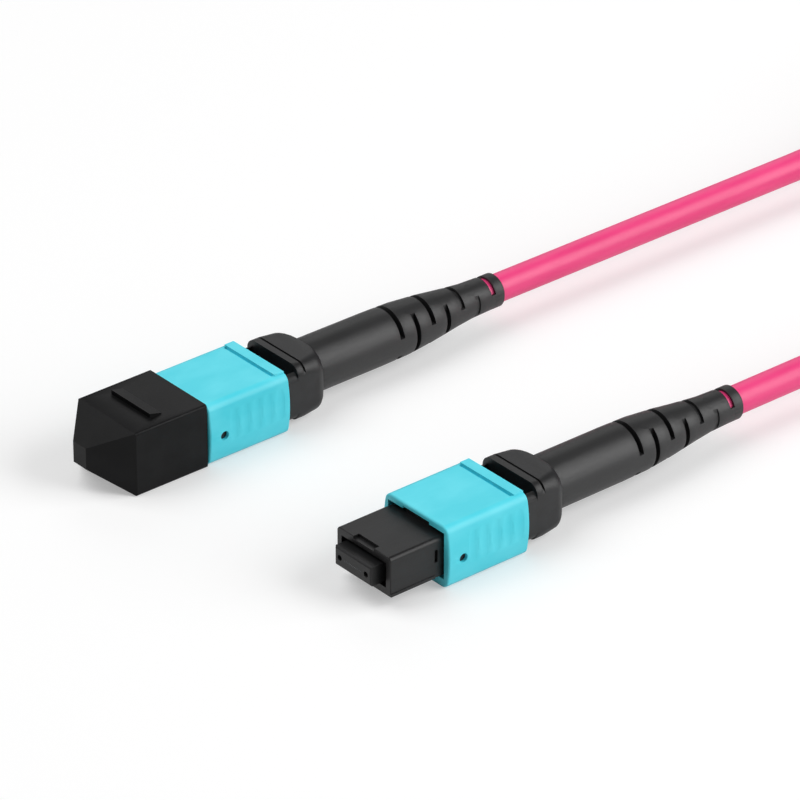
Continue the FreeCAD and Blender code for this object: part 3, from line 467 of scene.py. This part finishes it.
# Springs and fibre strips, copied from their solids; the joint that pushes their front end, its travel in mm
# and the slot are listed here but not applied
yielding = {
    "coupling_spring_left": {
        "name": "return_spring_left", "joint": "sleeve_slide_{}", "travel": 1.2, "slot": "spring_steel"},
    "coupling_spring_right": {
        "name": "return_spring_right", "joint": "sleeve_slide_{}", "travel": 1.2, "slot": "spring_steel"},
    "ferrule_spring": {
        "name": "block_spring", "joint": "ferrule_float_{}", "travel": 1.0, "slot": "spring_steel"},
    "fibre_ribbon": {
        "name": "fibre_strip", "joint": "ferrule_float_{}", "travel": 1.0, "slot": "coated_fibre"},
}


def makeYielding(kind, spec, plug):
    node = f"{kind}_{plug}"
    bm = copySolid(kind, node)
    for edge in bm.edges:
        edge.smooth = edge.calc_face_angle(0.0) < sharpTurn
    piece = addPiece(f"{spec['name']}_{plug}", bm, "cord", node)
    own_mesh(piece)
    return piece


for kind, spec in yielding.items():
    for plug in ("a", "b"):
        pieces[f"{kind}_{plug}"] = makeYielding(kind, spec, plug)
print("springs and strips added:", 2 * len(yielding))

# Dark round disc laid in the bottom of the hole in each sleeve's near flank, mm
darkHoleDisc = {
    "radius": 0.55, "thickness": 0.12, "edge": 0.05, "edgeSteps": 3, "sides": 40,
    "along": 2.15, "across": -5.3, "up": 3.6,
}


def makeDarkHoleDisc(plug):
    low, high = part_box(f"coupling_sleeve_{plug}")
    bm = bmesh.new()
    bmesh.ops.create_circle(
        bm, cap_ends=True, segments=darkHoleDisc["sides"], radius=darkHoleDisc["radius"] * mm)
    grown = bmesh.ops.extrude_face_region(bm, geom=bm.faces[:])
    top = [part for part in grown["geom"] if isinstance(part, bmesh.types.BMVert)]
    bmesh.ops.translate(bm, verts=top, vec=(0, 0, darkHoleDisc["thickness"] * mm))
    rim = [edge for edge in bm.edges if all(vert in top for vert in edge.verts)]
    bmesh.ops.bevel(
        bm, geom=rim, offset=darkHoleDisc["edge"] * mm, affect="EDGES", segments=darkHoleDisc["edgeSteps"],
        profile=0.5, material=-1)
    bmesh.ops.recalc_face_normals(bm, faces=bm.faces)
    place = Vector((low.x + darkHoleDisc["along"] * mm, (low.y + high.y) / 2 + darkHoleDisc["across"] * mm,
                    darkHoleDisc["up"] * mm))
    upright = Matrix.Rotation(math.pi / 2, 4, "X")
    bmesh.ops.transform(bm, verts=bm.verts, matrix=Matrix.Translation(place) @ upright)
    return addPiece(f"dark_hole_disc_{plug}", bm, f"sleeve_{plug}")


# Twelve polished fibre ends in a row across the ferrule's face, mm
fibreEnds = {"count": 12, "pitch": 0.25, "radius": 0.0625, "proud": 0.01, "sunk": 0.2, "sides": 16}


def makeFibreEnds(plug):
    low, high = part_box(f"ferrule_{plug}")
    bm = bmesh.new()
    depth = fibreEnds["proud"] + fibreEnds["sunk"]
    along = low.x + (depth / 2 - fibreEnds["proud"]) * mm
    lying = Matrix.Rotation(math.pi / 2, 4, "Y")
    for i in range(fibreEnds["count"]):
        across = (low.y + high.y) / 2 + (i - (fibreEnds["count"] - 1) / 2) * fibreEnds["pitch"] * mm
        place = Matrix.Translation((along, across, (low.z + high.z) / 2))
        bmesh.ops.create_cone(
            bm, cap_ends=True, segments=fibreEnds["sides"], radius1=fibreEnds["radius"] * mm,
            radius2=fibreEnds["radius"] * mm, depth=depth * mm, matrix=place @ lying)
    return addPiece(f"fibre_ends_{plug}", bm, f"ferrule_group_{plug}")


# Loose end of the strap, pressed down on the top of the coil, mm
strapEnd = {
    "length": 8.5, "width": 5.6, "thickness": 0.4, "inwards": 0.8,
    "corner": 1.6, "cornerSteps": 6, "edge": 0.12, "edgeSteps": 2,
}


def makeStrapEnd():
    low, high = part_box("coil_tie")
    bm = bmesh.new()
    bmesh.ops.create_cube(bm, size=mm)
    bmesh.ops.scale(bm, verts=bm.verts, vec=(strapEnd["length"], strapEnd["width"], strapEnd["thickness"]))

    def rise(edge):
        return abs(edge.verts[0].co.z - edge.verts[1].co.z)

    corners = [edge for edge in bm.edges if rise(edge) > strapEnd["thickness"] / 2 * mm]
    bmesh.ops.bevel(
        bm, geom=corners, offset=strapEnd["corner"] * mm, affect="EDGES", segments=strapEnd["cornerSteps"],
        profile=0.5, material=-1)
    rims = [edge for edge in bm.edges if rise(edge) < mergeGap * mm]
    bmesh.ops.bevel(
        bm, geom=rims, offset=strapEnd["edge"] * mm, affect="EDGES", segments=strapEnd["edgeSteps"],
        profile=0.5, material=-1)
    place = Vector(((low.x + high.x) / 2 - strapEnd["inwards"] * mm, (low.y + high.y) / 2,
                    high.z + strapEnd["thickness"] / 2 * mm))
    bmesh.ops.translate(bm, verts=bm.verts, vec=place)
    return addPiece("strap_end", bm, "cord")


# Each small piece with the finish that it wears
strapTip = makeStrapEnd()
details = [(strapTip, "coil_tie")]
for plug in ("a", "b"):
    details.append((makeDarkHoleDisc(plug), "inner_housing"))
    details.append((makeFibreEnds(plug), "fibre_ends"))
print("small pieces added:", len(details))


def startMaterial(name, roughness, ior=1.5, metallic=0.0):
    material = bpy.data.materials.new(name)
    material.use_nodes = True
    tree = material.node_tree
    tree.nodes.clear()
    output = addNode(tree, "ShaderNodeOutputMaterial")
    shader = addNode(tree, "ShaderNodeBsdfPrincipled", {
        "Roughness": roughness, "IOR": ior, "Metallic": metallic})
    tree.links.new(shader.outputs["BSDF"], output.inputs["Surface"])
    return material, tree, shader


# Grain is drawn two to three times as coarse as the real 0.1 mm, so that it shows
mouldedFinishes = {
    # polybutylene terephthalate, satin mould: clear bright aqua with a soft sheen
    "coupling_sleeve": ("aquaPolyester", {
        "deep": "#4CDAEB", "pale": "#5EE2F2", "roughness": 0.42, "ior": 1.55, "shine": 0.35,
        "cloudMm": 4.0, "flow": (0.6, 1, 1), "grainMm": 0.28, "reliefMm": 0.004}),
    # glass-filled nylon: near black, faint streaks along the flow, satin
    "inner_housing": ("glassFilledNylon", {
        "deep": "#0C0C0D", "pale": "#141415", "roughness": 0.42, "ior": 1.53, "shine": 0.34,
        "cloudMm": 1.2, "flow": (0.15, 1, 1), "grainMm": 0.25, "reliefMm": 0.005}),
    # the same nylon in a coarser mould: duller, a shade greyer
    "back_shell": ("shellNylon", {
        "deep": "#0F0F10", "pale": "#18181A", "roughness": 0.46, "ior": 1.53, "shine": 0.42,
        "cloudMm": 1.5, "flow": (1, 0.3, 1), "grainMm": 0.25, "reliefMm": 0.006}),
    # thermoplastic elastomer: soft black with a broad dull sheen and a trace of grey bloom
    "strain_boot": ("bootElastomer", {
        "deep": "#0E0E0F", "pale": "#161617", "roughness": 0.5, "ior": 1.5, "shine": 0.62,
        "cloudMm": 2.5, "flow": (0.4, 1, 1), "grainMm": 0.3, "reliefMm": 0.008}),
    # low-density polyethylene: deep black, slightly waxy
    "dust_cap": ("capPolyethylene", {
        "deep": "#0C0C0D", "pale": "#131314", "roughness": 0.42, "ior": 1.51, "shine": 0.13,
        "cloudMm": 3.0, "flow": (1, 0.5, 1), "grainMm": 0.3, "reliefMm": 0.006}),
    # soft silicone-like block round the fibres: matt black
    "ribbon_boot": ("ribbonRubber", {
        "deep": "#161616", "pale": "#202021", "roughness": 0.65, "ior": 1.45, "shine": 0.3,
        "cloudMm": 1.0, "flow": (1, 1, 1), "grainMm": 0.2, "reliefMm": 0.006}),
    # extruded low-smoke compound: even magenta, lightly drawn along the run
    "cable_jacket": ("magentaJacket", {
        "deep": "#EE3A7E", "pale": "#F64586", "roughness": 0.42, "ior": 1.52, "shine": 0.5,
        "cloudMm": 2.0, "flow": (0.2, 1, 1), "grainMm": 0.45, "reliefMm": 0.01}),
}
mouldedLook = {"tones": (0.35, 0.65), "cloudDetail": 3.0, "grainDetail": 2.0, "rub": 0.05}


def mouldedFinish(name, spec):
    # two close tones in slow clouds, and the fine even grain of a spark-eroded mould
    material, tree, shader = startMaterial(name, spec["roughness"], spec["ior"])
    shader.inputs["Specular IOR Level"].default_value = spec["shine"]
    place = addNode(tree, "ShaderNodeTexCoord").outputs["Object"]
    drawn = addNode(tree, "ShaderNodeMapping", {"Vector": place, "Scale": spec["flow"]})
    cloud = addNode(tree, "ShaderNodeTexNoise", {
        "Vector": drawn.outputs["Vector"], "Scale": 1 / (spec["cloudMm"] * mm),
        "Detail": mouldedLook["cloudDetail"]})
    tint = addNode(tree, "ShaderNodeValToRGB", {"Fac": cloud.outputs["Fac"]})
    for stop, at, color in zip(tint.color_ramp.elements, mouldedLook["tones"], (spec["deep"], spec["pale"])):
        stop.position = at
        stop.color = hexColor(color)
    grain = addNode(tree, "ShaderNodeTexNoise", {
        "Vector": place, "Scale": 1 / (spec["grainMm"] * mm), "Detail": mouldedLook["grainDetail"]})
    rub = addNode(tree, "ShaderNodeMapRange", {
        "Value": grain.outputs["Fac"], "To Min": spec["roughness"] - mouldedLook["rub"],
        "To Max": spec["roughness"] + mouldedLook["rub"]})
    relief = addNode(tree, "ShaderNodeBump", {
        "Height": grain.outputs["Fac"], "Strength": 1.0, "Distance": spec["reliefMm"] * mm})
    tree.links.new(tint.outputs["Color"], shader.inputs["Base Color"])
    tree.links.new(rub.outputs["Result"], shader.inputs["Roughness"])
    tree.links.new(relief.outputs["Normal"], shader.inputs["Normal"])
    return material


metalFinishes = {
    # hard-drawn stainless wire: cool grey, die marks along the wire
    "spring": ("drawnSpringWire", {
        "deep": "#A2A3A7", "pale": "#C4C5C9", "roughness": 0.3, "marks": (1, 0.3, 0.3), "markMm": 0.12}),
    # deep-drawn aluminium eyelet: pale, dull, with rings from the press
    "crimp_ring": ("drawnAluminium", {
        "deep": "#BDBEC1", "pale": "#DADBDD", "roughness": 0.36, "marks": (1, 0.1, 0.1), "markMm": 0.2}),
    # rolled stainless sheet, stamped: straight fine grain
    "pin_keeper": ("stampedSheet", {
        "deep": "#A6A7AA", "pale": "#C6C7CA", "roughness": 0.32, "marks": (1, 0.08, 1), "markMm": 0.15}),
}
metalLook = {"detail": 4.0, "rub": 0.08}


def metalFinish(name, spec):
    # bright metal with fine marks along the way it was drawn or rolled
    material, tree, shader = startMaterial(name, spec["roughness"], metallic=1.0)
    place = addNode(tree, "ShaderNodeTexCoord").outputs["Object"]
    drawn = addNode(tree, "ShaderNodeMapping", {"Vector": place, "Scale": spec["marks"]})
    scratches = addNode(tree, "ShaderNodeTexNoise", {
        "Vector": drawn.outputs["Vector"], "Scale": 1 / (spec["markMm"] * mm), "Detail": metalLook["detail"]})
    tone = addNode(tree, "ShaderNodeValToRGB", {"Fac": scratches.outputs["Fac"]})
    for stop, color in zip(tone.color_ramp.elements, (spec["deep"], spec["pale"])):
        stop.color = hexColor(color)
    rub = addNode(tree, "ShaderNodeMapRange", {
        "Value": scratches.outputs["Fac"], "To Min": spec["roughness"] - metalLook["rub"],
        "To Max": spec["roughness"] + metalLook["rub"]})
    tree.links.new(tone.outputs["Color"], shader.inputs["Base Color"])
    tree.links.new(rub.outputs["Result"], shader.inputs["Roughness"])
    return material


cellFinishes = {
    # polyphenylene sulphide full of mineral: dark grey with pale specks, ground flat
    # the real specks are 0.02 mm, drawn coarser so that they show
    "ferrule": ("mineralFilledFerrule", {
        "middle": "#262627", "edge": "#131314", "tones": (0.1, 0.4), "roughness": 0.42, "ior": 1.65,
        "shine": 0.22, "sheen": 0.0, "cellMm": 0.14, "reliefMm": 0.003, "raised": False}),
    # hook-and-loop nylon: matt black pile of tiny loops, with painted shade darkening the gaps between them
    "coil_tie": ("loopPile", {
        "middle": "#2B2B2D", "edge": "#0E0E0F", "tones": (0.0, 1.0), "roughness": 0.85, "ior": 1.53,
        "shine": 0.5, "sheen": 0.25, "cellMm": 0.35, "reliefMm": 0.12, "raised": True}),
}


def cellFinish(name, spec):
    # specks or loops side by side, paler in the middle of each; for the loops the darker rims are painted
    # shade in the gaps
    material, tree, shader = startMaterial(name, spec["roughness"], spec["ior"])
    shader.inputs["Specular IOR Level"].default_value = spec["shine"]
    shader.inputs["Sheen Weight"].default_value = spec["sheen"]
    place = addNode(tree, "ShaderNodeTexCoord").outputs["Object"]
    cells = addNode(tree, "ShaderNodeTexVoronoi", {"Vector": place, "Scale": 1 / (spec["cellMm"] * mm)})
    tone = addNode(tree, "ShaderNodeValToRGB", {"Fac": cells.outputs["Distance"]})
    for stop, at, color in zip(tone.color_ramp.elements, spec["tones"], (spec["middle"], spec["edge"])):
        stop.position = at
        stop.color = hexColor(color)
    relief = addNode(tree, "ShaderNodeBump", {
        "Height": cells.outputs["Distance"], "Strength": 1.0, "Distance": spec["reliefMm"] * mm},
        invert=spec["raised"])
    tree.links.new(tone.outputs["Color"], shader.inputs["Base Color"])
    tree.links.new(relief.outputs["Normal"], shader.inputs["Normal"])
    return material


# Usual order of fibre colours across a ribbon
fibreColors = ("#2F6FD0", "#E8872B", "#3AA655", "#7A4B2A", "#7D8790", "#EDEDE8",
               "#C8322E", "#202022", "#E6CB38", "#7B4FA8", "#E58AA8", "#4CC3CF")
acrylate = {"roughness": 0.25, "ior": 1.5}
silica = {
    "roughness": 0.12, "ior": 1.46, "hazeMm": 0.05, "hazeDetail": 1.0, "deep": "#34393C", "pale": "#50585C"}


def ribbonFinish(ribbonMiddle):
    # twelve acrylate-coated fibres side by side: clear glossy stripes, one colour each
    material, tree, shader = startMaterial("acrylateRibbon", **acrylate)
    place = addNode(tree, "ShaderNodeTexCoord").outputs["Object"]
    width = fibreEnds["count"] * fibreEnds["pitch"] * mm
    across = addNode(tree, "ShaderNodeMapping", {
        "Vector": place, "Location": (0, 0.5 - ribbonMiddle / width, 0), "Scale": (1, 1 / width, 1)})
    split = addNode(tree, "ShaderNodeSeparateXYZ", {"Vector": across.outputs["Vector"]})
    stripes = addNode(tree, "ShaderNodeValToRGB", {"Fac": split.outputs["Y"]})
    stripes.color_ramp.interpolation = "CONSTANT"
    while len(stripes.color_ramp.elements) < len(fibreColors):
        stripes.color_ramp.elements.new(1.0)
    for i, color in enumerate(fibreColors):
        stripes.color_ramp.elements[i].position = i / len(fibreColors)
        stripes.color_ramp.elements[i].color = hexColor(color)
    tree.links.new(stripes.outputs["Color"], shader.inputs["Base Color"])
    return material


def polishedGlassFinish():
    # cleaved and polished silica: clear, so the dark block shows through
    material, tree, shader = startMaterial("polishedSilica", silica["roughness"], silica["ior"])
    place = addNode(tree, "ShaderNodeTexCoord").outputs["Object"]
    haze = addNode(tree, "ShaderNodeTexNoise", {
        "Vector": place, "Scale": 1 / (silica["hazeMm"] * mm), "Detail": silica["hazeDetail"]})
    tone = addNode(tree, "ShaderNodeValToRGB", {"Fac": haze.outputs["Fac"]})
    for stop, color in zip(tone.color_ramp.elements, (silica["deep"], silica["pale"])):
        stop.color = hexColor(color)
    tree.links.new(tone.outputs["Color"], shader.inputs["Base Color"])
    return material


finishes = {kind: mouldedFinish(*spec) for kind, spec in mouldedFinishes.items()}
finishes.update({kind: metalFinish(*spec) for kind, spec in metalFinishes.items()})
finishes.update({kind: cellFinish(*spec) for kind, spec in cellFinishes.items()})
finishes["fibre_ends"] = polishedGlassFinish()
for kind in ("ferrule_spring", "coupling_spring_left", "coupling_spring_right"):
    finishes[kind] = finishes["spring"]
for kind in ("cable_run", "cable_coil"):
    finishes[kind] = finishes["cable_jacket"]


def wear(piece, finish):
    piece.data.materials.clear()
    piece.data.materials.append(finish)


wear(jacket, finishes["cable_jacket"])
for name, node in nodes.items():
    kind = name[:-2] if name[-2:] in ("_a", "_b") else name
    if kind == "fibre_ribbon":
        low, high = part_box(name)
        finish = ribbonFinish((low.y + high.y) / 2)
    else:
        finish = finishes[kind]
    wear(node, finish)
    if name in pieces:
        wear(pieces[name], finish)
for piece, kind in details:
    wear(piece, finishes[kind])
print("finishes applied:", len(bpy.data.materials))

# Three soft boxes and a dim even room, over a white paper floor
studio = {
    "softBoxes": {  # direction from the object, then metres, metres and watts
        "nearRight": {"towards": (0.554, -0.66, 0.51), "distance": 1.0, "size": 0.85, "watts": 9.0},
        "farLeft": {"towards": (-0.35, 0.35, 0.87), "distance": 1.2, "size": 1.0, "watts": 8.2},
        "farRight": {"towards": (0.554, 0.665, 0.5), "distance": 1.2, "size": 0.7, "watts": 1.5},
    },
    "white": "#FFFFFF",
    "room": 0.13,
    "floorSize": 6.0,
    "floorColor": "#D6D6D6",
    "floorRoughness": 0.9,
    "floorShine": 0.1,
    "floorGlow": 0.36,  # brings the lit paper up to white, while the shadow stays
}


def makeFloor():
    bm = bmesh.new()
    bmesh.ops.create_grid(bm, x_segments=1, y_segments=1, size=studio["floorSize"])
    mesh = bpy.data.meshes.new("floor")
    bm.to_mesh(mesh)
    bm.free()
    floor = bpy.data.objects.new("floor", mesh)
    bpy.context.scene.collection.objects.link(floor)
    # matt white paper: no sheen, only the soft shadow shows on it
    material, tree, shader = startMaterial("mattPaper", studio["floorRoughness"])
    shader.inputs["Base Color"].default_value = hexColor(studio["floorColor"])
    shader.inputs["Specular IOR Level"].default_value = studio["floorShine"]
    path = addNode(tree, "ShaderNodeLightPath")
    seen = addNode(tree, "ShaderNodeMath", {
        0: path.outputs["Is Camera Ray"], 1: path.outputs["Is Glossy Ray"]}, operation="MAXIMUM")
    seen = addNode(tree, "ShaderNodeMath", {
        0: seen.outputs[0], 1: path.outputs["Is Transmission Ray"]}, operation="MAXIMUM")
    glow = addNode(tree, "ShaderNodeMath", {0: seen.outputs[0], 1: studio["floorGlow"]}, operation="MULTIPLY")
    shader.inputs["Emission Color"].default_value = hexColor(studio["white"])
    tree.links.new(glow.outputs[0], shader.inputs["Emission Strength"])
    mesh.materials.append(material)
    floor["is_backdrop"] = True


def makeLight():
    world = bpy.data.worlds.new("world")
    bpy.context.scene.world = world
    world.use_nodes = True
    tree = world.node_tree
    tree.nodes.clear()
    output = addNode(tree, "ShaderNodeOutputWorld")
    room = addNode(tree, "ShaderNodeBackground", {
        "Color": hexColor(studio["white"]), "Strength": studio["room"]})
    tree.links.new(room.outputs[0], output.inputs["Surface"])
    for name, spec in studio["softBoxes"].items():
        box = bpy.data.lights.new(name, "AREA")
        box.size = spec["size"]
        box.energy = spec["watts"]
        lamp = bpy.data.objects.new(name, box)
        towards = Vector(spec["towards"]).normalized()
        lamp.location = towards * spec["distance"]
        lamp.rotation_euler = (-towards).to_track_quat("-Z", "Y").to_euler()
        bpy.context.scene.collection.objects.link(lamp)


makeFloor()
makeLight()
bpy.context.scene.view_settings.view_transform = "Standard"
print("stage and light set")

bpy.context.view_layer.update()
low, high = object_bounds()
